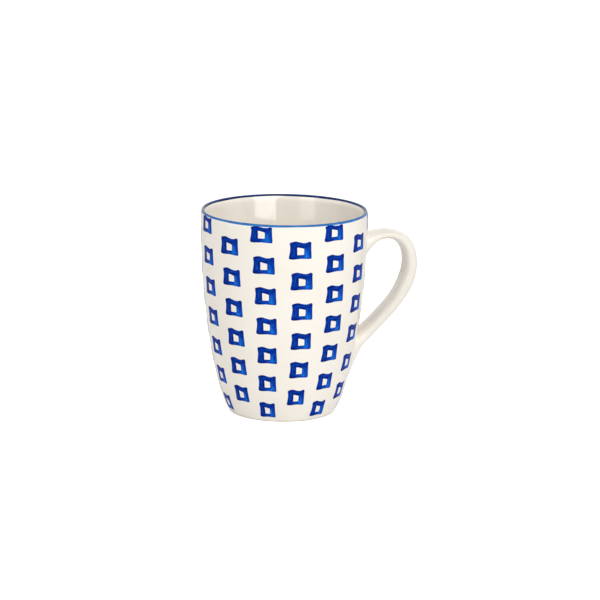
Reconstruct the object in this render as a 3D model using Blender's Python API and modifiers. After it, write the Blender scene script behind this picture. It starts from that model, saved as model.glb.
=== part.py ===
"""Stoneware mug: a turned body, a strap handle joined to it by two flared clay joints, and the
cobalt-glazed top of the lip.

Metres, +Z up. The mug stands on z = 0 with its handle toward +X, and the origin lies under the
middle of its overall box. The vessel's own axis is the empty "vessel_axis", which every piece is
parented to, so all dimensions below are measured from that axis.
"""

import math

import bmesh
import bpy
from mathutils import Vector

MM = 0.001

# Overall sizes
HEIGHT = 104.5 * MM
RIM_RADIUS = 42.5 * MM
FOOT_RADIUS = 26.8 * MM
HANDLE_REACH = 69.7 * MM  # from the vessel's axis to the outermost point of the handle

FLOOR_HEIGHT = 6.0 * MM  # of the floor's upper face
FLOOR_RADIUS = 21.5 * MM  # of the flat middle of the floor
LIP_THICKNESS = 2.6 * MM

# Exponents of the superellipses that bow the wall. The inner one is lower, so that the wall
# thickens below the lip.
OUTER_BOW = 2.1
INNER_BOW = 1.9
TUCK = 1.35  # how sharply both turn in at the bottom

# Foot ring
FOOT_RING_WIDTH = 4.2 * MM
FOOT_RECESS = 1.2 * MM
FOOT_EASE = 0.6 * MM  # rounding of the ring's inner edge

# Cobalt band: the top of the lip
BAND_HEIGHT = 1.8 * MM
GAP = 0.3 * MM  # between pieces that touch

# Clay joints between the handle and the wall
JOINT_DEPTH = 3.2 * MM  # how far each one stands out from the wall
JOINT_SPLIT = 60.0 * MM  # a height between the upper joint and the lower one

# Handle strap, from its upper root to its lower one, in millimetres: (distance from the vessel's
# axis, height, half thickness, half width). It starts and ends inside the wall.
STRAP_STATIONS = [
    (36.0, 83.5, 7.0, 9.6),
    (41.0, 86.0, 4.7, 8.8),
    (48.0, 89.7, 2.5, 7.4),
    (56.0, 90.2, 2.3, 6.8),
    (63.0, 86.0, 3.2, 6.8),
    (66.0, 77.5, 3.5, 7.0),
    (64.7, 67.0, 3.7, 7.0),
    (58.0, 55.0, 3.4, 7.0),
    (45.2, 41.3, 3.4, 7.3),
    (37.7, 34.2, 3.8, 8.6),
    (33.0, 27.0, 5.0, 9.4),
]
STRAP_SQUARENESS = 2.4  # exponent of the strap's oval section: 2 is an ellipse

# Resolution
TURNED_STEPS = 48
WALL_ROWS = 18
LIP_STEPS = 8
EASE_STEPS = 3
STRAP_SIDES = 16
STRAP_STEPS = 4  # rings between two stations
WELD_DISTANCE = 0.01 * MM
SHARP_ANGLE = math.radians(40)

# Glazes: colour and roughness
CREAM = ((0.86, 0.82, 0.74), 0.15)
COBALT = ((0.02, 0.07, 0.36), 0.12)


def clear_scene():
    for obj in list(bpy.data.objects):
        bpy.data.objects.remove(obj, do_unlink=True)


def collection(name):
    made = bpy.data.collections.new(name)
    bpy.context.scene.collection.children.link(made)
    return made


def glaze(name, colour, roughness):
    material = bpy.data.materials.new(name)
    material.use_nodes = True
    shader = material.node_tree.nodes["Principled BSDF"]
    shader.inputs["Base Color"].default_value = (*colour, 1.0)
    shader.inputs["Roughness"].default_value = roughness
    shader.inputs["Metallic"].default_value = 0.0
    return material


def bowed_radius(height, bow, low, low_radius, lip_radius):
    """Radius of a wall that rises from low_radius at low to lip_radius at the top of the lip."""
    drop = 1 - (height - low) / (HEIGHT - low)
    rise = max(0.0, 1 - drop**bow) ** (1 / TUCK)
    return low_radius + (lip_radius - low_radius) * rise


def outer_radius(height):
    return bowed_radius(height, OUTER_BOW, 0.0, FOOT_RADIUS, RIM_RADIUS)


def inner_radius(height):
    lip_radius = RIM_RADIUS - LIP_THICKNESS
    return bowed_radius(height, INNER_BOW, FLOOR_HEIGHT, FLOOR_RADIUS, lip_radius)


def wall_heights(low, high):
    """Heights from low to high, closest together at the low end, where the wall turns fastest."""
    return [low + (high - low) * (row / WALL_ROWS) ** 2 for row in range(WALL_ROWS + 1)]


def arc(centre, radius, start, end, steps):
    """Points (distance from the axis, height) on an arc, from start to end in degrees."""
    points = []
    for step in range(steps + 1):
        angle = math.radians(start + (end - start) * step / steps)
        points.append((centre[0] + radius * math.cos(angle), centre[1] + radius * math.sin(angle)))
    return points


def turned(name, outline, home, material=None, ring=False):
    """A solid turned about the vessel's axis from an outline that runs down its outer side.

    The outline starts and ends on the axis, or closes on itself to make a ring.
    """
    edges = [(i, i + 1) for i in range(len(outline) - 1)]
    if ring:
        edges.append((len(outline) - 1, 0))
    mesh = bpy.data.meshes.new(name)
    mesh.from_pydata([(radius, 0.0, height) for radius, height in outline], edges, [])
    obj = bpy.data.objects.new(name, mesh)
    home.objects.link(obj)
    screw = obj.modifiers.new("Turn", "SCREW")
    screw.axis = "Z"
    screw.steps = TURNED_STEPS
    screw.render_steps = TURNED_STEPS
    screw.use_merge_vertices = True
    screw.merge_threshold = WELD_DISTANCE
    screw.use_smooth_shade = True
    if material:
        mesh.materials.append(material)
    return obj


def make_body(home, material):
    """Wall, floor and foot ring in one turned piece, open at the top."""
    top = HEIGHT - BAND_HEIGHT - GAP
    ring_inner = FOOT_RADIUS - FOOT_RING_WIDTH
    ease_centre = (ring_inner + FOOT_EASE, FOOT_EASE)
    outline = [(0.0, FLOOR_HEIGHT)]
    outline += [(inner_radius(height), height) for height in wall_heights(FLOOR_HEIGHT, top)]
    outline += [(outer_radius(height), height) for height in reversed(wall_heights(0.0, top))]
    outline += arc(ease_centre, FOOT_EASE, 270, 180, EASE_STEPS)
    outline += [(ring_inner, FOOT_RECESS), (0.0, FOOT_RECESS)]
    turned("mug_body", outline, home, material)


def make_rim_band(home, material):
    """The top of the lip, rounded over, which carries the cobalt band."""
    lip_round = LIP_THICKNESS / 2
    bottom = HEIGHT - BAND_HEIGHT
    outline = arc((RIM_RADIUS - lip_round, HEIGHT - lip_round), lip_round, 180, 0, LIP_STEPS)
    outline += [(outer_radius(bottom), bottom), (inner_radius(bottom), bottom)]
    turned("rim_band", outline, home, material, ring=True)


def make_envelope(name, home, clearance):
    """A cutter: the vessel's outside, stood off by clearance."""
    outline = [(0.0, HEIGHT)]
    for height in reversed(wall_heights(0.0, HEIGHT)):
        outline.append((outer_radius(height) + clearance, height))
    outline.append((0.0, 0.0))
    envelope = turned(name, outline, home)
    envelope.hide_render = True
    envelope.display_type = "WIRE"
    return envelope


def strap_path():
    """Stations along the strap in metres, on a smooth curve through STRAP_STATIONS."""
    stations = [Vector(station) * MM for station in STRAP_STATIONS]
    padded = [2 * stations[0] - stations[1], *stations, 2 * stations[-1] - stations[-2]]
    path = []
    for before, start, end, after in zip(padded, padded[1:], padded[2:], padded[3:]):
        for step in range(STRAP_STEPS):
            t = step / STRAP_STEPS
            straight = 2 * start + (end - before) * t
            bend = (2 * before - 5 * start + 4 * end - after) * t**2
            twist = (3 * start - before - 3 * end + after) * t**3
            path.append((straight + bend + twist) / 2)
    return [*path, stations[-1]]


def strap_ring(shape, station, travel):
    """One closed section of the strap, square to the direction of travel in the XZ plane."""
    reach, height, half_thickness, half_width = station
    outward = Vector((-travel.y, 0.0, travel.x))
    middle = Vector((reach, 0.0, height))
    ring = []
    for side in range(STRAP_SIDES):
        angle = 2 * math.pi * side / STRAP_SIDES
        across, along = math.cos(angle), math.sin(angle)
        across = math.copysign(abs(across) ** (2 / STRAP_SQUARENESS), across) * half_thickness
        along = math.copysign(abs(along) ** (2 / STRAP_SQUARENESS), along) * half_width
        ring.append(shape.verts.new(middle + outward * across + Vector((0.0, along, 0.0))))
    return ring


def make_strap():
    """The whole strap from root to root: a loft between its sections, with flat end caps."""
    path = strap_path()
    shape = bmesh.new()
    rings = []
    for index, station in enumerate(path):
        behind = path[max(index - 1, 0)]
        ahead = path[min(index + 1, len(path) - 1)]
        rings.append(strap_ring(shape, station, (ahead - behind).xy.normalized()))
    for near, far in zip(rings, rings[1:]):
        for side in range(STRAP_SIDES):
            turn = (side + 1) % STRAP_SIDES
            shape.faces.new((near[side], near[turn], far[turn], far[side]))
    shape.faces.new(rings[0])
    shape.faces.new(rings[-1])
    bmesh.ops.recalc_face_normals(shape, faces=shape.faces)
    mesh = bpy.data.meshes.new("strap")
    shape.to_mesh(mesh)
    shape.free()
    return mesh


def make_half_space(name, home, side):
    """A cutter: a block that holds everything above (side 1) or below (side -1) the split."""
    shape = bmesh.new()
    bmesh.ops.create_cube(shape, size=2 * HEIGHT)
    bmesh.ops.translate(shape, verts=shape.verts, vec=(0.0, 0.0, JOINT_SPLIT + side * HEIGHT))
    mesh = bpy.data.meshes.new(name)
    shape.to_mesh(mesh)
    shape.free()
    block = bpy.data.objects.new(name, mesh)
    block.hide_render = True
    block.display_type = "WIRE"
    home.objects.link(block)
    return block


def cut_piece(name, strap, home, material, cuts):
    """A piece of the strap: its mesh, trimmed by (operation, cutter) pairs."""
    mesh = strap.copy()
    mesh.name = name
    mesh.materials.append(material)
    mesh.shade_smooth()
    mesh.set_sharp_from_angle(angle=SHARP_ANGLE)
    piece = bpy.data.objects.new(name, mesh)
    home.objects.link(piece)
    for operation, cutter in cuts:
        trim = piece.modifiers.new(cutter.name, "BOOLEAN")
        trim.operation = operation
        trim.object = cutter


def make_handle(home, cutters, material):
    """The strap in three pieces: the handle, and the flared clay joint at each of its roots."""
    strap = make_strap()
    wall = make_envelope("wall_clearance", cutters, GAP)
    joints = make_envelope("joint_depth", cutters, GAP + JOINT_DEPTH)
    handle_start = make_envelope("handle_clearance", cutters, 2 * GAP + JOINT_DEPTH)
    above = make_half_space("above_split", cutters, 1)
    below = make_half_space("below_split", cutters, -1)
    cut_piece("handle", strap, home, material, [("DIFFERENCE", handle_start)])
    for name, half in (("upper_handle_joint", above), ("lower_handle_joint", below)):
        cuts = [("INTERSECT", half), ("INTERSECT", joints), ("DIFFERENCE", wall)]
        cut_piece(name, strap, home, material, cuts)


def main():
    clear_scene()
    parts = collection("stoneware_mug")
    cutters = collection("cutters")
    cream = glaze("cream_glaze", *CREAM)
    cobalt = glaze("cobalt_glaze", *COBALT)
    axis = bpy.data.objects.new("vessel_axis", None)
    axis.location.x = (RIM_RADIUS - HANDLE_REACH) / 2
    parts.objects.link(axis)
    make_body(parts, cream)
    make_rim_band(parts, cobalt)
    make_handle(parts, cutters, cream)
    for obj in list(parts.objects) + list(cutters.objects):
        if obj is not axis:
            obj.parent = axis


main()
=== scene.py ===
"""The looks of the stoneware mug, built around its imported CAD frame.

Metres, in the CAD's own frame: +Z up, handle toward +X. Each piece is made in the vessel's own
coordinates, with the vessel's axis at x = y = 0, and then stood on the axis that the frame gives.
"""

import math

import bmesh
import bpy
from mathutils import Matrix, Vector, geometry


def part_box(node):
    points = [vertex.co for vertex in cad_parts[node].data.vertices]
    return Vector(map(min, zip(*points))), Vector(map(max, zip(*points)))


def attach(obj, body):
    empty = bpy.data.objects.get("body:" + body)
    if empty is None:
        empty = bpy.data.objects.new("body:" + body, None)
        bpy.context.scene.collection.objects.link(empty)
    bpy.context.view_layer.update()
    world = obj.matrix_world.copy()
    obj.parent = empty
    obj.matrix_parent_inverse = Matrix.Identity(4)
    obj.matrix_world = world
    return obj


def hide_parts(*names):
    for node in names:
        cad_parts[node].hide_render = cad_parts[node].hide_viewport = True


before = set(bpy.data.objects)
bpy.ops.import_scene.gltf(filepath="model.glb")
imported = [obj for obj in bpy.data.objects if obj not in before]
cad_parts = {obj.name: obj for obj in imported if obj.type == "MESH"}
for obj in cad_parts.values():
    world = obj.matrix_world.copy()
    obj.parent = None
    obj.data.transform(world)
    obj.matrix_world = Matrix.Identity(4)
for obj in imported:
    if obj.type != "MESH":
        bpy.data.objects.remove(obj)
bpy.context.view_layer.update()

MM = 0.001
FLATNESS = 0.01 * MM  # by which a point of a flat face may be off its plane

# ---- Sizes from the frame ----

rim_low, rim_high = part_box("rim_band")
AXIS_X = (rim_low.x + rim_high.x) / 2
HEIGHT = rim_high.z
RIM_RADIUS = (rim_high.x - rim_low.x) / 2
FOOT_RADIUS = max(
    corner.co.x - AXIS_X
    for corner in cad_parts["mug_body"].data.vertices
    if corner.co.z < FLATNESS
)

# ---- The CAD's own shapes, repeated so that the fine surfaces lie on them ----

FLOOR_HEIGHT = 6.0 * MM
FLOOR_RADIUS = 21.5 * MM
LIP_THICKNESS = 2.6 * MM
OUTER_BOW = 2.1  # how late the wall closes in toward the foot
INNER_BOW = 1.9
TUCK = 1.35  # how sharply it tucks in there
FOOT_RING_WIDTH = 4.2 * MM
FOOT_RECESS = 1.2 * MM
FOOT_EASE = 0.6 * MM

# Handle strap, from its upper root to its lower one, in millimetres: (distance from the vessel's
# axis, height, half thickness, half width). It starts and ends inside the wall.
STRAP_STATIONS = [
    (36.0, 83.5, 7.0, 9.6),
    (41.0, 86.0, 4.7, 8.8),
    (48.0, 89.7, 2.5, 7.4),
    (56.0, 90.2, 2.3, 6.8),
    (63.0, 86.0, 3.2, 6.8),
    (66.0, 77.5, 3.5, 7.0),
    (64.7, 67.0, 3.7, 7.0),
    (58.0, 55.0, 3.4, 7.0),
    (45.2, 41.3, 3.4, 7.3),
    (37.7, 34.2, 3.8, 8.6),
    (33.0, 27.0, 5.0, 9.4),
]
STRAP_SQUARENESS = 2.4

# ---- Lip and foot, finer than the CAD's ----

LIP_ROUND = 3.6 * MM  # height of the lip's oval top
LIP_OUTER = 0.7 * MM  # from the outer wall to the top of that oval
FLAT_EDGE = 1.0 * MM  # of the floor and the recess, kept flat so that only their corners shade round
BARE_RISE = 0.3 * MM  # how far the bare clay goes up the outside of the foot

# ---- Handle roots ----

UPPER_SEARCH = (0.0, 2.5)  # places along the strap that are inside the wall and clear of it
LOWER_SEARCH = (10.5, 7.5)

# How far off the wall the strap starts to turn into it: on its outer side, its edges and the side
# toward the fingers.
UPPER_TURN = (1.0 * MM, 2.2 * MM, 3.6 * MM)
LOWER_TURN = (3.6 * MM, 1.8 * MM, 0.8 * MM)
ROOT_SPREAD = 0.45  # how far the turned clay runs on along the wall, as a share of the turn
ROOT_EDGE = 0.04 * MM  # how far under the wall's surface the turned clay ends
ROOT_SINK = 0.8 * MM  # how much deeper the buried end of the handle goes

# ---- Painted squares ----

COLUMNS = 14
ROW_START = 5.0 * MM  # down the wall from the rim to the first row's centre
ROW_PITCH = 7.987 * MM  # between rows, which belong to every other column in turn
ROW_CLOSING = 0.011 * MM  # half of what the pitch shrinks by from row to row
ROWS = 13
COLUMN_BOW = math.radians(1.4)  # how far round the mug a column's middle bows, and its ends back
COLUMN_LEAN = math.radians(0.8)  # how far its foot leans round it, on the side at LEAN_SIDE
LEAN_SIDE = math.radians(-125)  # about the axis, from the handle; the side across from it leans back
SQUARE_SCALE = 42.4 * MM  # radius at which a square has the size of its outline
PAINT_RISE = 0.04 * MM  # off the wall
PAINT_DEPTH = 0.12 * MM  # how far below the surface a layer of paint is closed
PAINT_EDGE = 0.22 * MM  # over which the paint thins out
PAINT_GRAIN = 0.95 * MM  # between the points inside a square
ROOT_CLEARANCE = 0.5 * MM  # between a square and the clay of a handle root

# One brushed square and its open middle, in millimetres: (across, up), clockwise from the upper
# left corner.
SQUARE_OUTLINE = [
    (-5.45, 3.7), (-4.6, 4.35), (-2.4, 4.8), (-0.4, 4.35), (1.6, 3.95), (3.2, 4.05), (4.6, 4.5),
    (5.5, 4.0), (5.55, 2.0), (5.7, -1.0), (5.85, -3.4), (5.4, -4.25), (2.8, -4.2), (0.2, -4.1),
    (-3.2, -4.4), (-5.1, -4.3), (-5.8, -3.6), (-5.4, -1.2), (-5.15, 1.4),
]
SQUARE_MIDDLE = [
    (-1.5, 1.65), (0.2, 1.4), (1.65, 1.05), (1.9, 0.5), (1.9, -1.0), (1.75, -2.0), (0.2, -2.1),
    (-1.4, -2.1), (-1.55, -1.6), (-1.55, 0.2),
]
CORNER_STEPS = 3  # points of the curve for each point of an outline

# ---- Cobalt band ----

BAND_OUTSIDE = 1.2 * MM  # below the top of the lip, on its outside
BAND_INSIDE = 1.1 * MM
BAND_WANDER = 0.08 * MM  # of its edges, up and down
SLOW_WAVES = 5  # of that wander, round the rim
QUICK_WAVES = 13
BAND_RISE = 0.05 * MM  # off the lip
BAND_COVER = 0.9 * MM  # along the wall from the rim, where the top squares end under the band
EASE_END = 3.0 * MM  # above which the top squares are squeezed to fit there

# ---- Fineness ----

TURNS = 256
WALL_ROWS = 72
WALL_CROWDING = 2.2  # how much closer together the rows are at the low end
LIP_STEPS = 24
BAND_STEPS = 12
EASE_STEPS = 6
STRAP_SIDES = 64
STRAP_RINGS = 90
ROOT_RINGS = 10
HALVINGS = 32  # of the strap, to find where it leaves the wall
SLOPE_STEPS = 200  # parts of the searched strap, one of which gives its slope
LENGTH_STEPS = 2000  # parts of the wall's height in the table of lengths down it
MEET_DISTANCE = 1e-7  # points of a square closer than this are one
FILL_EDGES = 1  # the kind of triangulation that fills only what its edges enclose


# ---- Shapes shared with the CAD ----


def bowed_radius(height, bow, low, low_radius, lip_radius):
    """Radius of a wall that rises from low_radius at low to lip_radius at the top of the lip."""
    drop = 1 - (height - low) / (HEIGHT - low)
    rise = max(0.0, 1 - max(0.0, drop) ** bow) ** (1 / TUCK)
    return low_radius + (lip_radius - low_radius) * rise


def outer_radius(height):
    """Radius of the outer wall, which rounds over at the lip."""
    into_lip = max(0.0, height - HEIGHT + LIP_ROUND) / LIP_ROUND
    rounding = 1 - math.sqrt(max(0.0, 1 - into_lip**2))
    wall = bowed_radius(height, OUTER_BOW, 0.0, FOOT_RADIUS, RIM_RADIUS)
    return wall - LIP_OUTER * rounding


def lip_half(over):
    """Half width of the oval lip on this side of its top."""
    return LIP_OUTER if math.cos(over) > 0 else LIP_THICKNESS - LIP_OUTER


def inner_radius(height):
    return bowed_radius(height, INNER_BOW, FLOOR_HEIGHT, FLOOR_RADIUS, RIM_RADIUS - LIP_THICKNESS)


def wall_heights(low, high):
    """Heights from low to high, closest together at the low end, where the wall turns fastest."""
    shares = [(row / WALL_ROWS) ** WALL_CROWDING for row in range(WALL_ROWS + 1)]
    return [low + (high - low) * share for share in shares]


def arc(centre, radius, start, end, steps):
    """Points (distance from the axis, height) on an arc, from start to end in degrees."""
    angles = [math.radians(start + (end - start) * step / steps) for step in range(steps + 1)]
    return [(centre[0] + radius * math.cos(a), centre[1] + radius * math.sin(a)) for a in angles]


def smooth_curve(before, start, end, after, t):
    """The point at t on a smooth curve through four points, and how the point changes there.

    It runs from start, where t is 0, to end, where t is 1.
    """
    slope = end - before
    bend = 2 * before - 5 * start + 4 * end - after
    twist = 3 * start - before - 3 * end + after
    point = (2 * start + slope * t + bend * t**2 + twist * t**3) / 2
    change = (slope + 2 * bend * t + 3 * twist * t**2) / 2
    return point, change


def on_wall(angle, height, rise=0.0):
    """The point on the outer wall at this angle about the axis, stood off it by rise."""
    radius = outer_radius(height) + rise
    return Vector((radius * math.cos(angle), radius * math.sin(angle), height))


# ---- Making meshes ----


def make_object(name, points, faces, materials):
    """A smooth-shaded object on the vessel's axis, with its faces turned outward."""
    mesh = bpy.data.meshes.new(name)
    mesh.from_pydata(points, [], faces)
    for material in materials:
        mesh.materials.append(material)
    shape = bmesh.new()
    shape.from_mesh(mesh)
    bmesh.ops.recalc_face_normals(shape, faces=shape.faces)
    shape.to_mesh(mesh)
    shape.free()
    mesh.shade_smooth()
    piece = bpy.data.objects.new(name, mesh)
    piece.location.x = AXIS_X
    bpy.context.scene.collection.objects.link(piece)
    return piece


def add_attribute(piece, name, vectors):
    """Keeps one vector for each point of the piece, for its material to read."""
    made = piece.data.attributes.new(name, "FLOAT_VECTOR", "POINT")
    for slot, vector in zip(made.data, vectors):
        slot.vector = vector


def join_rings(near, far):
    """Faces between two closed rings of point numbers of the same length."""
    count = len(near)
    return [
        (near[i], near[(i + 1) % count], far[(i + 1) % count], far[i]) for i in range(count)
    ]


def fan(ring, centre):
    return [(ring[i], ring[(i + 1) % len(ring)], centre) for i in range(len(ring))]


def turn_ring(points, radius, height):
    """Adds a ring of points about the axis and returns their numbers."""
    first = len(points)
    for step in range(TURNS):
        angle = 2 * math.pi * step / TURNS
        points.append((radius * math.cos(angle), radius * math.sin(angle), height))
    return range(first, len(points))


# ---- Vessel ----


def lip_place(over):
    """(distance from the axis, height) on the oval lip, from its outside (0) to its inside (pi)."""
    radius = RIM_RADIUS - LIP_OUTER + lip_half(over) * math.cos(over)
    return radius, HEIGHT - LIP_ROUND + LIP_ROUND * math.sin(over)


def vessel_outline():
    """(distance from the axis, height) from the floor's middle, over the lip, to the underside."""
    lip_height = HEIGHT - LIP_ROUND
    ring_inner = FOOT_RADIUS - FOOT_RING_WIDTH
    outline = [(FLOOR_RADIUS - FLAT_EDGE, FLOOR_HEIGHT)]
    outline += [(inner_radius(height), height) for height in wall_heights(FLOOR_HEIGHT, lip_height)]
    outline += [lip_place(math.pi * (1 - step / LIP_STEPS)) for step in range(1, LIP_STEPS)]
    outline += [(outer_radius(height), height) for height in reversed(wall_heights(0.0, lip_height))]
    outline += arc((ring_inner + FOOT_EASE, FOOT_EASE), FOOT_EASE, 270, 180, EASE_STEPS)
    outline += [(ring_inner, FOOT_RECESS), (ring_inner - FLAT_EDGE, FOOT_RECESS)]
    return outline


def make_vessel(glaze, clay):
    """Wall, lip, floor and foot ring as one closed surface, glazed all over but for its foot."""
    outline = vessel_outline()
    points = [(0.0, 0.0, FLOOR_HEIGHT), (0.0, 0.0, FOOT_RECESS)]
    rings = [turn_ring(points, radius, height) for radius, height in outline]
    faces = fan(rings[0], 0)
    for near, far in zip(rings, rings[1:]):
        faces += join_rings(near, far)
    faces += fan(rings[-1], 1)
    vessel = make_object("vessel", points, faces, [glaze, clay])
    for face in vessel.data.polygons:
        middle = face.center
        reach = math.hypot(middle.x, middle.y)
        if middle.z < BARE_RISE and reach > FOOT_RADIUS - FOOT_RING_WIDTH:
            face.material_index = 1
    return vessel


# ---- Cobalt band over the lip ----


def band_point(turn, over, rise):
    """The point over the lip at this angle about the axis, stood off the lip by rise."""
    radius, height = lip_place(over)
    facing = Vector((LIP_ROUND * math.cos(over), lip_half(over) * math.sin(over))).normalized()
    radius += facing.x * rise
    return Vector((radius * math.cos(turn), radius * math.sin(turn), height + facing.y * rise))


def band_wander(turn):
    return BAND_WANDER * (math.sin(SLOW_WAVES * turn) + math.sin(QUICK_WAVES * turn + 1) / 2)


def make_band(material):
    """A skin of cobalt over the lip, sunk into it at both edges, which wander a little."""
    shares = [step / BAND_STEPS for step in range(BAND_STEPS + 1)]
    skin = [(share, -BAND_RISE if share in (0.0, 1.0) else BAND_RISE) for share in shares]
    skin += [(share, -PAINT_DEPTH) for share in reversed(shares)]
    points, places = [], []
    for share, rise in skin:
        for step in range(TURNS):
            turn = 2 * math.pi * step / TURNS
            start = math.asin(1 - (BAND_OUTSIDE + band_wander(turn)) / LIP_ROUND)
            end = math.pi - math.asin(1 - (BAND_INSIDE - band_wander(turn)) / LIP_ROUND)
            points.append(band_point(turn, start + (end - start) * share, rise))
            places.append((turn, share, 0.0))
    rings = [range(i * TURNS, (i + 1) * TURNS) for i in range(len(skin))]
    faces = []
    for near, far in zip(rings, rings[1:] + rings[:1]):
        faces += join_rings(near, far)
    band = make_object("cobalt_band", points, faces, [material])
    add_attribute(band, "band_place", places)
    return band


# ---- Handle ----


def strap_station(place):
    """The station at this place along the strap, and how it changes there.

    Place 0 is the first of STRAP_STATIONS and place 1 the next.
    """
    stations = [Vector(station) * MM for station in STRAP_STATIONS]
    padded = [2 * stations[0] - stations[1], *stations, 2 * stations[-1] - stations[-2]]
    index = min(max(int(place), 0), len(stations) - 2)
    return smooth_curve(*padded[index : index + 4], place - index)


def squared(value):
    """A cosine or sine, as it is on the strap's oval section."""
    return math.copysign(abs(value) ** (2 / STRAP_SQUARENESS), value)


def strap_point(place, side):
    """The point of the strap's surface at this place, on the side at this angle of its section."""
    station, change = strap_station(place)
    reach, height, half_thickness, half_width = station
    travel = change.xy.normalized()
    across = squared(math.cos(side)) * half_thickness
    along = squared(math.sin(side)) * half_width
    return Vector((reach - travel.y * across, along, height + travel.x * across))


def wall_place(point):
    """A point as (distance round the wall from the handle's plane, height, distance off the wall)."""
    radius = math.hypot(point.x, point.y)
    wall = outer_radius(point.z)
    return Vector((math.atan2(point.y, point.x) * RIM_RADIUS, point.z, radius - wall))


def from_wall_place(place):
    return on_wall(place.x / RIM_RADIUS, place.y, place.z)


def where_turn_starts(side, depth, inside, outside):
    """The place between two others at which this side of the strap is depth off the wall."""
    for _ in range(HALVINGS):
        middle = (inside + outside) / 2
        if wall_place(strap_point(middle, side)).z < depth:
            inside = middle
        else:
            outside = middle
    return outside


def turn_depth(side, turn):
    """Blends a root's three turn sizes round the strap's section."""
    outer, edge, inner = turn
    lean = math.cos(side)
    return edge + ((outer if lean > 0 else inner) - edge) * lean * lean


class Root:
    """Where one end of the strap turns into the wall: a start, a corner and an end for each side."""

    def __init__(self, sides, turn, inside, outside):
        step = (inside - outside) / SLOPE_STEPS
        self.places = [
            where_turn_starts(side, turn_depth(side, turn), inside, outside) for side in sides
        ]
        self.starts = []
        self.corners = []
        for side, place in zip(sides, self.places):
            start = wall_place(strap_point(place, side))
            change = wall_place(strap_point(place + step, side)) - start
            self.starts.append(start)
            self.corners.append(start - change * (start.z / change.z))
        self.middle = sum(self.corners, Vector()) / len(sides)
        self.ends = []
        for start, corner in zip(self.starts, self.corners):
            spread = (corner - self.middle).normalized() * (corner - start).length * ROOT_SPREAD
            self.ends.append(corner + spread - Vector((0.0, 0.0, ROOT_EDGE)))

    def ring(self, share):
        """Points from the strap (share 0) to the wall (share 1), one for each side."""
        places = []
        for start, corner, end in zip(self.starts, self.corners, self.ends):
            places.append(start.lerp(corner, share).lerp(corner.lerp(end, share), share))
        return [from_wall_place(place) for place in places]

    def buried_ring(self):
        return [from_wall_place(end - Vector((0.0, 0.0, ROOT_SINK))) for end in self.ends]

    def buried_middle(self):
        return from_wall_place(self.middle - Vector((0.0, 0.0, ROOT_SINK)))

    def covers(self, angle, height, half_width, half_height):
        """Whether a box on the wall reaches the clay of this root."""
        across = angle * RIM_RADIUS
        lows = [min(end[i] for end in self.ends) - ROOT_CLEARANCE for i in (0, 1)]
        highs = [max(end[i] for end in self.ends) + ROOT_CLEARANCE for i in (0, 1)]
        beside = across + half_width < lows[0] or across - half_width > highs[0]
        apart = height + half_height < lows[1] or height - half_height > highs[1]
        return not (beside or apart)


def find_roots():
    sides = [2 * math.pi * side / STRAP_SIDES for side in range(STRAP_SIDES)]
    return sides, Root(sides, UPPER_TURN, *UPPER_SEARCH), Root(sides, LOWER_TURN, *LOWER_SEARCH)


def make_handle(glaze, sides, upper, lower):
    """The strap from root to root, with both ends turned out into the wall and closed inside it."""
    rings = [upper.buried_ring()]
    rings += [upper.ring(1 - step / ROOT_RINGS) for step in range(ROOT_RINGS)]
    for step in range(STRAP_RINGS + 1):
        share = step / STRAP_RINGS
        ring = []
        for side, start, end in zip(sides, upper.places, lower.places):
            ring.append(strap_point(start + (end - start) * share, side))
        rings.append(ring)
    rings += [lower.ring((step + 1) / ROOT_RINGS) for step in range(ROOT_RINGS)]
    rings.append(lower.buried_ring())
    points = [point for ring in rings for point in ring]
    points += [upper.buried_middle(), lower.buried_middle()]
    numbers = [range(i * STRAP_SIDES, (i + 1) * STRAP_SIDES) for i in range(len(rings))]
    faces = fan(numbers[0], len(points) - 2) + fan(numbers[-1], len(points) - 1)
    for near, far in zip(numbers, numbers[1:]):
        faces += join_rings(near, far)
    return make_object("strap_handle", points, faces, [glaze])


# ---- Painted squares ----


def smooth_loop(outline):
    """A closed curve through the points of an outline, as points in metres."""
    corners = [Vector(corner) * MM for corner in outline]
    loop = []
    for index, start in enumerate(corners):
        before = corners[index - 1]
        end = corners[(index + 1) % len(corners)]
        after = corners[(index + 2) % len(corners)]
        for step in range(CORNER_STEPS):
            point, _ = smooth_curve(before, start, end, after, step / CORNER_STEPS)
            loop.append(point)
    return loop


def inset_loop(loop, distance):
    """A closed loop moved to its right, which is inward on a clockwise one."""
    moved = []
    for index, point in enumerate(loop):
        along = loop[(index + 1) % len(loop)] - loop[index - 1]
        moved.append(point + Vector((along.y, -along.x)).normalized() * distance)
    return moved


def inside(point, loop):
    """Whether a point lies in a closed loop, from how often a line to its right crosses it."""
    crossings = 0
    for start, end in zip(loop, loop[1:] + loop[:1]):
        if (start.y > point.y) != (end.y > point.y):
            where = start.x + (point.y - start.y) / (end.y - start.y) * (end.x - start.x)
            crossings += where > point.x
    return crossings % 2 == 1


def grain_points(outer, middle):
    """Points spread evenly over a square, clear of the edges where its paint thins out."""
    solid = inset_loop(outer, PAINT_EDGE + PAINT_GRAIN / 2)
    hollow = inset_loop(middle, -PAINT_EDGE - PAINT_GRAIN / 2)
    reach = int(max(abs(value) for point in outer for value in point) / PAINT_GRAIN) + 1
    spots = []
    for row in range(-reach, reach + 1):
        for column in range(-reach, reach + 1):
            spot = Vector((column + row % 2 / 2, row)) * PAINT_GRAIN
            if inside(spot, solid) and not inside(spot, hollow):
                spots.append(spot)
    return spots


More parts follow.
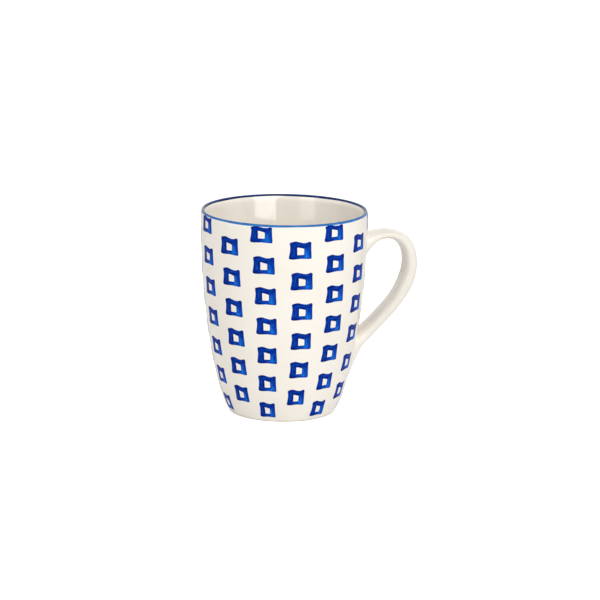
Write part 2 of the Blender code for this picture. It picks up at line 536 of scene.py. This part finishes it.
def square_pattern():
    """One square as flat triangles: its points, their rise off the wall, its faces and its edges."""
    outer = inset_loop(smooth_loop(SQUARE_OUTLINE), -PAINT_EDGE / 2)
    middle = inset_loop(smooth_loop(SQUARE_MIDDLE), PAINT_EDGE / 2)
    loops = [outer, middle, inset_loop(outer, PAINT_EDGE), inset_loop(middle, -PAINT_EDGE)]
    points, edges = [], []
    for loop in loops:
        first = len(points)
        points += loop
        edges += [(first + i, first + (i + 1) % len(loop)) for i in range(len(loop))]
    points += grain_points(outer, middle)
    filled = geometry.delaunay_2d_cdt(points, edges, [], FILL_EDGES, MEET_DISTANCE)
    spots, _, triangles, *_ = filled
    faces = []
    for triangle in triangles:
        centre = sum((spots[i] for i in triangle), Vector((0, 0))) / 3
        if not inside(centre, middle):
            faces.append(triangle)
    rim = len(outer) + len(middle)
    rises = [-PAINT_RISE if index < rim else PAINT_RISE for index in range(len(spots))]
    return spots, rises, faces, edges[:rim]


def wall_lengths():
    """(distance down the wall from the rim, height) all the way down the outer wall."""
    table = [(0.0, HEIGHT)]
    for step in range(1, LENGTH_STEPS + 1):
        height = HEIGHT * (1 - step / LENGTH_STEPS)
        length, above = table[-1]
        span = math.dist((outer_radius(height), height), (outer_radius(above), above))
        table.append((length + span, height))
    return table


def height_at(length, table):
    """The height at this distance down the wall from the rim."""
    for (near, above), (far, below) in zip(table, table[1:]):
        if far >= length:
            return above + (below - above) * (length - near) / (far - near)
    return 0.0


def square_places(roots):
    """(angle, distance down the wall) of each square's centre, leaving out what a root covers."""
    table = wall_lengths()
    half_width = max(across for across, up in SQUARE_OUTLINE) * MM
    half_height = max(up for across, up in SQUARE_OUTLINE) * MM
    places = []
    for column in range(COLUMNS):
        start = 2 * math.pi * (column + 0.5) / COLUMNS
        for row in range((column + 1) % 2, ROWS, 2):
            length = ROW_START + ROW_PITCH * row - ROW_CLOSING * row * row
            halfway = 2 * row / (ROWS - 1) - 1
            lean = COLUMN_LEAN * math.cos(start - LEAN_SIDE) * halfway
            angle = start + COLUMN_BOW * (1 - 2 * halfway**2) + lean
            turned = math.remainder(angle, 2 * math.pi)
            height = height_at(length, table)
            if not any(root.covers(turned, height, half_width, half_height) for root in roots):
                places.append((angle, length))
    return places, table


def below_band(down):
    """A distance down the wall from the rim, eased so that paint ends under the band's edge."""
    return max(down, EASE_END - (EASE_END - down) * (EASE_END - BAND_COVER) / EASE_END)


def make_squares(paint, roots):
    """Every painted square: a thin layer that follows the wall, closed below its surface."""
    spots, rises, flat, rim = square_pattern()
    places, table = square_places(roots)
    points, faces, strokes = [], [], []
    for index, (middle, length) in enumerate(places):
        top = len(points)
        bottom = top + len(spots)
        for layer in (rises, [-PAINT_DEPTH] * len(spots)):
            for spot, rise in zip(spots, layer):
                height = height_at(below_band(length - spot.y), table)
                points.append(on_wall(middle + spot.x / SQUARE_SCALE, height, rise))
                strokes.append((spot.x / MM, spot.y / MM, float(index)))
        faces += [[top + i for i in face] for face in flat]
        faces += [[bottom + i for i in reversed(face)] for face in flat]
        faces += [(top + a, top + b, bottom + b, bottom + a) for a, b in rim]
    squares = make_object("painted_squares", points, faces, [paint])
    add_attribute(squares, "stroke_place", strokes)
    return squares


# ---- Materials ----

# A Mix node has sockets of the same name for each kind of value, so its colour ones go by number
MIX_FIRST = 6
MIX_SECOND = 7
MIX_RESULT = 2

NOISE_SPREAD = (0.3, 0.7)  # where most of a noise's values lie
RIPPLE_SCALE = 0.22  # in a millimetre, as every noise's scale below
RIPPLE_HEIGHT = 0.05 * MM
RIPPLE_STRENGTH = 0.35


class Shader:
    """A material's node tree, with short calls for the nodes that these materials share."""

    def __init__(self, name):
        self.material = bpy.data.materials.new(name)
        self.material.use_nodes = True
        self.tree = self.material.node_tree
        self.surface = self.tree.nodes["Principled BSDF"]

    def set(self, values):
        for name, value in values.items():
            self.surface.inputs[name].default_value = value

    def link(self, output, name):
        self.tree.links.new(output, self.surface.inputs[name])

    def plug(self, value, socket):
        """Links another node's output to the socket, or gives the socket a plain value."""
        if isinstance(value, bpy.types.NodeSocket):
            self.tree.links.new(value, socket)
        else:
            socket.default_value = value

    def node(self, kind, inputs=(), **settings):
        made = self.tree.nodes.new("ShaderNode" + kind)
        for name, value in settings.items():
            setattr(made, name, value)
        for name, value in dict(inputs).items():
            self.plug(value, made.inputs[name])
        return made

    def coordinates(self):
        """The piece's own coordinates in millimetres."""
        return self.scaled(self.node("TexCoord").outputs["Object"], [1 / MM] * 3)

    def attribute(self, name):
        return self.node("Attribute", attribute_name=name).outputs["Vector"]

    def noise(self, vector, scale, detail, roughness=0.5):
        """Soft noise around 0.5, with a feature about every 1 / scale of the vector's units."""
        inputs = {"Vector": vector, "Scale": scale, "Detail": detail, "Roughness": roughness}
        return self.node("TexNoise", inputs).outputs["Fac"]

    def scaled(self, vector, scale, location=(0.0, 0.0, 0.0)):
        inputs = {"Vector": vector, "Scale": scale, "Location": location}
        return self.node("Mapping", inputs).outputs["Vector"]

    def ramp(self, value, stops):
        """A colour for each value, blended between (place, colour) stops."""
        ramp = self.node("ValToRGB", {"Fac": value})
        elements = ramp.color_ramp.elements
        while len(elements) < len(stops):
            elements.new(0.5)
        for element, (place, colour) in zip(elements, stops):
            element.position = place
            element.color = (*colour, 1.0)
        return ramp.outputs["Color"]

    def remap(self, value, low, high, to_low, to_high):
        """The value with low to high stretched over to_low to to_high, and held there beyond them."""
        inputs = {"Value": value, "From Min": low, "From Max": high}
        inputs |= {"To Min": to_low, "To Max": to_high}
        return self.node("MapRange", inputs).outputs["Result"]

    def math(self, operation, *values):
        made = self.node("Math", operation=operation)
        for value, socket in zip(values, made.inputs):
            self.plug(value, socket)
        return made.outputs["Value"]

    def mix(self, share, first, second):
        """A blend of two colours."""
        made = self.node("Mix", data_type="RGBA")
        self.plug(share, made.inputs["Factor"])
        self.plug(first, made.inputs[MIX_FIRST])
        self.plug(second, made.inputs[MIX_SECOND])
        return made.outputs[MIX_RESULT]

    def bump(self, height, distance, strength):
        inputs = {"Height": height, "Distance": distance, "Strength": strength}
        self.link(self.node("Bump", inputs).outputs["Normal"], "Normal")

    def ripple(self):
        """The slight unevenness of a glassy surface."""
        waves = self.noise(self.coordinates(), RIPPLE_SCALE, detail=2.0)
        self.bump(waves, RIPPLE_HEIGHT, RIPPLE_STRENGTH)


# The glaze in its darker and lighter clouds: on the vessel and, a little darker and warmer as painted
# shade, on the handle
VESSEL_TINTS = [(0.3, (0.84, 0.795, 0.715)), (0.7, (0.88, 0.842, 0.775))]
HANDLE_SHADE_TINTS = [(0.3, (0.765, 0.724, 0.648)), (0.7, (0.805, 0.768, 0.698))]
TINT_BLEND = 11.0 * MM  # over which the vessel's tint gives way to the handle's painted shade, outward from the rim's radius
CLOUD_SCALE = 0.035
SMEAR_SCALE = 0.09
SPECK_SCALE = 1.6
SPECK_PEAKS = (0.74, 0.80)  # the noise's values between which a speck comes up
SPECK_COLOUR = (0.50, 0.40, 0.28, 1.0)
SPECK_COVER = 0.16


def cream_glaze():
    """Glossy transparent glaze over cream slip: faint clouds, fine specks, a rippled surface, and
    painted shade that darkens it on the handle.
    """
    shader = Shader("cream_glaze")
    place = shader.coordinates()
    flat = shader.scaled(place, (1.0, 1.0, 0.0))
    reach = shader.node("VectorMath", {"Vector": flat}, operation="LENGTH").outputs["Value"]
    handle_shade_share = shader.remap(reach, RIM_RADIUS / MM, (RIM_RADIUS + TINT_BLEND) / MM, 0.0, 1.0)
    clouds = shader.noise(place, CLOUD_SCALE, detail=3.0)
    # painted shade: beyond the rim's radius, on the handle, the same glaze is given darker, warmer
    # tints
    body = shader.mix(handle_shade_share, shader.ramp(clouds, VESSEL_TINTS), shader.ramp(clouds, HANDLE_SHADE_TINTS))
    peaks = shader.noise(place, SPECK_SCALE, detail=1.0)
    specks = shader.remap(peaks, *SPECK_PEAKS, 0.0, SPECK_COVER)
    shader.link(shader.mix(specks, body, SPECK_COLOUR), "Base Color")
    smears = shader.noise(place, SMEAR_SCALE, detail=2.0)
    shader.link(shader.remap(smears, *NOISE_SPREAD, 0.09, 0.15), "Roughness")
    shader.ripple()
    shader.set({"IOR": 1.5, "Specular IOR Level": 0.45})
    return shader.material


# From worn and dirty clay to clean grains
CLAY_STOPS = [(0.30, (0.42, 0.34, 0.25)), (0.55, (0.62, 0.53, 0.42)), (0.75, (0.72, 0.65, 0.55))]
GRAIN_SCALE = 2.2
WEAR_SCALE = 0.12
GRAIN_SHARE = 0.6  # of the clay's tone; wear makes the rest
GRAIN_HEIGHT = 0.12 * MM


def bare_clay():
    """Unglazed stoneware on the foot: grainy, matt and a little darker where it is worn."""
    shader = Shader("bare_stoneware")
    place = shader.coordinates()
    grain = shader.noise(place, GRAIN_SCALE, detail=6.0, roughness=0.7)
    wear = shader.noise(place, WEAR_SCALE, detail=2.0)
    grained = shader.math("MULTIPLY", grain, GRAIN_SHARE)
    worn = shader.math("MULTIPLY", wear, 1 - GRAIN_SHARE)
    shader.link(shader.ramp(shader.math("ADD", grained, worn), CLAY_STOPS), "Base Color")
    shader.link(shader.remap(grain, *NOISE_SPREAD, 0.75, 0.95), "Roughness")
    shader.bump(grain, GRAIN_HEIGHT, 0.8)
    return shader.material


# Brush tones inside one square, in millimetres: (across, up, half width, half height, lift). A
# lift above zero thins the cobalt toward light blue, and one below zero lets it pool dark.
SQUARE_TONES = [
    (3.3, -2.6, 2.0, 1.8, 0.12),
    (2.8, -0.8, 1.5, 3.2, 0.26),
    (4.4, -1.6, 2.6, 5.0, 0.12),
    (2.2, -3.4, 4.2, 1.8, 0.20),
    (-3.4, -0.8, 0.9, 4.6, 0.10),
    (0.5, 3.1, 4.6, 0.8, 0.08),
    (-2.3, 0.0, 0.8, 3.4, -0.16),
    (0.6, 2.2, 3.2, 0.8, -0.14),
    (-2.4, 4.3, 2.6, 1.0, -0.12),
    (-4.6, 4.0, 2.4, 1.8, -0.14),
    (-4.0, -4.0, 3.4, 1.6, -0.18),
    (4.4, 3.4, 2.4, 2.0, -0.08),
]
BRUSH_TONE = 0.37  # where nothing lifts or lowers it
BRUSH_STREAK = 0.20  # by which streaks lift or lower it
STREAK_SPREAD = (0.28, 0.72)  # the noise's values between which they do
STROKE_CHANGE = (0.2, 1.4)  # millimetres past a corner's diagonal, where the side strokes set in
# How often streaks change across, up and from square to square: in the side strokes, which run up
# and down, and in the top and bottom ones
SIDE_STREAKS = (2.6, 0.4, 1.7)
LEVEL_STREAKS = (0.4, 2.6, 2.3)
COBALT_STOPS = [
    (0.00, (0.000, 0.006, 0.100)),
    (0.30, (0.000, 0.018, 0.220)),
    (0.50, (0.002, 0.050, 0.400)),
    (0.75, (0.006, 0.150, 0.640)),
    (1.00, (0.030, 0.330, 0.820)),
]


def brush_pools(shader, place):
    """The cobalt's tone at this place in a square, from its pools and pale runs."""
    tone = BRUSH_TONE
    for across, up, half_width, half_height, lift in SQUARE_TONES:
        size = (1 / half_width, 1 / half_height, 0.0)
        shift = (-across / half_width, -up / half_height, 0.0)
        here = shader.scaled(place, size, shift)
        spot = shader.node("TexGradient", {"Vector": here}, gradient_type="SPHERICAL")
        tone = shader.math("ADD", tone, shader.math("MULTIPLY", spot.outputs["Fac"], lift))
    return tone


def brush_streaks(shader, place):
    """Noise drawn out along the stroke that this place in a square lies on."""
    upright = shader.noise(shader.scaled(place, SIDE_STREAKS), 1.0, detail=2.0)
    level = shader.noise(shader.scaled(place, LEVEL_STREAKS), 1.0, detail=2.0)
    parts = shader.node("SeparateXYZ", {"Vector": place}).outputs
    sideways = shader.math("ABSOLUTE", parts["X"])
    upward = shader.math("ABSOLUTE", parts["Y"])
    past = shader.math("SUBTRACT", sideways, upward)
    on_side = shader.remap(past, *STROKE_CHANGE, 0.0, 1.0)
    return shader.mix(on_side, level, upright)


def cobalt_paint():
    """Cobalt laid on with a brush: pools, pale runs and streaks along each of the four strokes."""
    shader = Shader("cobalt_squares")
    place = shader.attribute("stroke_place")
    pools = brush_pools(shader, place)
    streaks = brush_streaks(shader, place)
    lift = shader.remap(streaks, *STREAK_SPREAD, -BRUSH_STREAK, BRUSH_STREAK)
    shader.link(shader.ramp(shader.math("ADD", pools, lift), COBALT_STOPS), "Base Color")
    shader.link(shader.remap(streaks, *NOISE_SPREAD, 0.18, 0.28), "Roughness")
    shader.ripple()
    shader.set({"IOR": 1.45, "Specular IOR Level": 0.03})
    return shader.material


# From the dark cobalt on the band's inner half to the pale cobalt on its outer half: partly the
# cobalt thinning over the edge, partly painted shade on the inner half and painted light on the outer
# half
BAND_THINNING_AND_SHADE_STOPS = [
    (0.0, (0.002, 0.018, 0.095)),
    (0.5, (0.006, 0.060, 0.270)),
    (1.0, (0.030, 0.190, 0.520)),
]
BAND_CHANGE = (0.25, 0.60)  # shares of the way over the lip between which it turns dark, partly as painted shade
BAND_UNEVEN = 0.2  # by which clouds lift or lower the tone
BAND_CLOUDS = 0.16  # scale of those clouds


def cobalt_band():
    """Cobalt wiped over the lip: dark on its inner half, thinner and paler on its outer half, with
    painted shade on the inner half and painted light on the outer half as well.
    """
    shader = Shader("cobalt_band")
    place = shader.attribute("band_place")
    across = shader.node("SeparateXYZ", {"Vector": place}).outputs["Y"]
    clouds = shader.noise(shader.coordinates(), BAND_CLOUDS, detail=3.0)
    # partly thinning cobalt, partly painted light and shade: paler toward the outside of the lip,
    # darker toward its inside
    thinning_and_shade = shader.remap(across, *BAND_CHANGE, 0.95, 0.05)
    lift = shader.remap(clouds, *NOISE_SPREAD, -BAND_UNEVEN, BAND_UNEVEN)
    shader.link(shader.ramp(shader.math("ADD", thinning_and_shade, lift), BAND_THINNING_AND_SHADE_STOPS), "Base Color")
    shader.link(shader.remap(clouds, *NOISE_SPREAD, 0.12, 0.2), "Roughness")
    shader.set({"IOR": 1.45, "Specular IOR Level": 0.12})
    return shader.material


# ---- Stage, light and camera ----

# The camera's place about the vessel's axis
VIEW_TURN = math.radians(-12.24)  # about the axis, from looking along +Y
VIEW_RISE = math.radians(12.96)
VIEW_DISTANCE = 1536 * MM
VIEW_HEIGHT = 52 * MM  # of the point on the axis that the distance is measured from
VIEW_ASIDE = 8.55 * MM  # from that point to the middle of the view
VIEW_ABOVE = 5.2 * MM
VIEW_ROLL = math.radians(0.82)
LENS = 180.0  # in millimetres, on a sensor as wide as SENSOR_WIDTH
SENSOR_WIDTH = 36.0
CLIP_START = 0.1
CLIP_END = 10.0

# Soft lamps: name, turn and rise from the camera's side in degrees, distance, width and height in
# metres, watts
SOFT_LAMPS = [
    ("key", 30, 38, 1.2, 0.8, 0.8, 7.3),
    ("fill", -40, 25, 1.3, 0.7, 0.9, 1.5),
    ("side", -80, 20, 1.2, 0.5, 0.8, 1.1),
    ("top", 0, 88, 1.2, 1.0, 1.0, 2.0),
]

# Narrow beams over the front of the rim, which draw bright bars inside the back wall: name, place
# across the view from the vessel's axis and width in millimetres, watts
BEAMS = [
    ("bar_wide", -10.0, 10.7, 0.00015),
    ("bar_faint", 12.0, 7.6, 0.00004),
    ("bar_left", -26.3, 7.6, 0.00002),
]
BEAM_RISE = 35  # degrees
BEAM_FALL = 12.8 * MM  # how far below the rim a bar reaches
BEAM_OVER = 3.0 * MM  # how far above the rim the beam passes
BEAM_DISTANCE = 600 * MM
BEAM_SPREAD = math.radians(0.15)

WHITE = (1.0, 1.0, 1.0, 1.0)
WORLD_LIGHT = (1.0, 0.985, 0.96, 1.0)
WORLD_STRENGTH = 0.52  # as light on the mug
WORLD_SHINE = 1.2  # its strength in what a glossy surface reflects
FLOOR_TONE = (0.93, 0.93, 0.93, 1.0)
FLOOR_GLOW = 0.5  # as the camera sees it
FLOOR_HALF = 3.0  # half the length of its sides, in metres
FLOOR_DROP = 0.05 * MM  # below the mug's foot


def toward_view(turn, rise):
    """Unit vector from the mug, turned from the camera's side by turn and raised by rise."""
    angle = VIEW_TURN + turn
    level = math.cos(rise)
    return Vector((math.sin(angle) * level, -math.cos(angle) * level, math.sin(rise)))


def make_camera():
    middle = Vector((AXIS_X, 0.0, VIEW_HEIGHT))
    back = toward_view(0.0, VIEW_RISE)
    right = Vector((0.0, 0.0, 1.0)).cross(back).normalized()
    up = back.cross(right)
    target = middle + right * VIEW_ASIDE + up * VIEW_ABOVE
    data = bpy.data.cameras.new("camera")
    data.lens = LENS
    data.sensor_width = SENSOR_WIDTH
    data.clip_start = CLIP_START
    data.clip_end = CLIP_END
    camera = bpy.data.objects.new("camera", data)
    camera.location = middle + back * VIEW_DISTANCE
    look = (target - camera.location).to_track_quat("-Z", "Y").to_matrix().to_4x4()
    camera.rotation_euler = (look @ Matrix.Rotation(VIEW_ROLL, 4, "Z")).to_euler()
    bpy.context.scene.collection.objects.link(camera)
    bpy.context.scene.camera = camera


def area_lamp(name, turn, rise, distance, width, height, power, target):
    """A rectangular lamp that faces its target, placed from the camera's side by degrees."""
    data = bpy.data.lights.new(name, "AREA")
    data.shape = "RECTANGLE"
    data.size = width
    data.size_y = height
    data.energy = power
    lamp = bpy.data.objects.new(name, data)
    direction = toward_view(math.radians(turn), math.radians(rise))
    lamp.location = target + direction * distance
    lamp.rotation_euler = direction.to_track_quat("Z", "Y").to_euler()
    bpy.context.scene.collection.objects.link(lamp)
    return lamp


def make_beam(name, aside, width, power):
    """One beam, aimed at the back wall's inside from the camera's side, but higher up."""
    radius = inner_radius(HEIGHT - LIP_ROUND)
    away = -toward_view(0.0, 0.0)
    across = away.cross(Vector((0.0, 0.0, 1.0)))
    spot = Vector((AXIS_X, 0.0, HEIGHT + (BEAM_OVER - BEAM_FALL) / 2)) + across * aside
    spot += away * math.sqrt(radius**2 - aside**2)
    height = (BEAM_OVER + BEAM_FALL) * math.cos(math.radians(BEAM_RISE))
    lamp = area_lamp(name, 0, BEAM_RISE, BEAM_DISTANCE, width, height, power, spot)
    lamp.data.spread = BEAM_SPREAD


def make_lights():
    """The soft lamps, aimed at the vessel's middle, and then the beams."""
    for lamp in SOFT_LAMPS:
        area_lamp(*lamp, Vector((AXIS_X, 0.0, HEIGHT / 2)))
    for name, aside, width, power in BEAMS:
        make_beam(name, aside * MM, width * MM, power)


def make_world():
    """White behind the mug and in its reflections, and a weaker white as light on it."""
    world = bpy.data.worlds.new("studio")
    bpy.context.scene.world = world
    world.use_nodes = True
    nodes, links = world.node_tree.nodes, world.node_tree.links
    light = nodes["Background"]
    light.inputs["Color"].default_value = WORLD_LIGHT
    seen = nodes.new("ShaderNodeBackground")
    seen.inputs["Color"].default_value = WHITE
    seen.inputs["Strength"].default_value = 1.0
    path = nodes.new("ShaderNodeLightPath")
    shine = nodes.new("ShaderNodeMapRange")
    shine.inputs["To Min"].default_value = WORLD_STRENGTH
    shine.inputs["To Max"].default_value = WORLD_SHINE
    links.new(path.outputs["Is Glossy Ray"], shine.inputs["Value"])
    links.new(shine.outputs["Result"], light.inputs["Strength"])
    choice = nodes.new("ShaderNodeMixShader")
    links.new(path.outputs["Is Camera Ray"], choice.inputs["Fac"])
    links.new(light.outputs["Background"], choice.inputs[1])
    links.new(seen.outputs["Background"], choice.inputs[2])
    links.new(choice.outputs["Shader"], nodes["World Output"].inputs["Surface"])


def make_floor():
    """A pale sheet that the camera sees glow a little, like a photographer's light table."""
    shader = Shader("pale_floor")
    shader.set({"Base Color": FLOOR_TONE, "Roughness": 0.9, "Emission Color": WHITE})
    seen = shader.node("LightPath").outputs["Is Camera Ray"]
    shader.link(shader.math("MULTIPLY", seen, FLOOR_GLOW), "Emission Strength")
    half = FLOOR_HALF
    corners = [(-half, -half, 0.0), (half, -half, 0.0), (half, half, 0.0), (-half, half, 0.0)]
    mesh = bpy.data.meshes.new("floor")
    mesh.from_pydata(corners, [], [(0, 1, 2, 3)])
    mesh.materials.append(shader.material)
    floor = bpy.data.objects.new("floor", mesh)
    floor.location.z = -FLOOR_DROP
    bpy.context.scene.collection.objects.link(floor)


def place_piece(piece, slot, *nodes):
    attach(piece, "root")
    if nodes:
        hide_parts(*nodes)


def main():
    glaze = cream_glaze()
    sides, upper, lower = find_roots()
    place_piece(make_vessel(glaze, bare_clay()), "cream_glaze", "mug_body")
    place_piece(make_band(cobalt_band()), "cobalt_glaze", "rim_band")
    handle = make_handle(glaze, sides, upper, lower)
    place_piece(handle, "cream_glaze", "handle", "upper_handle_joint", "lower_handle_joint")
    place_piece(make_squares(cobalt_paint(), (upper, lower)), "cobalt_glaze")
    make_floor()
    make_lights()
    make_world()
    make_camera()
    bpy.context.scene.view_settings.view_transform = "Standard"


main()
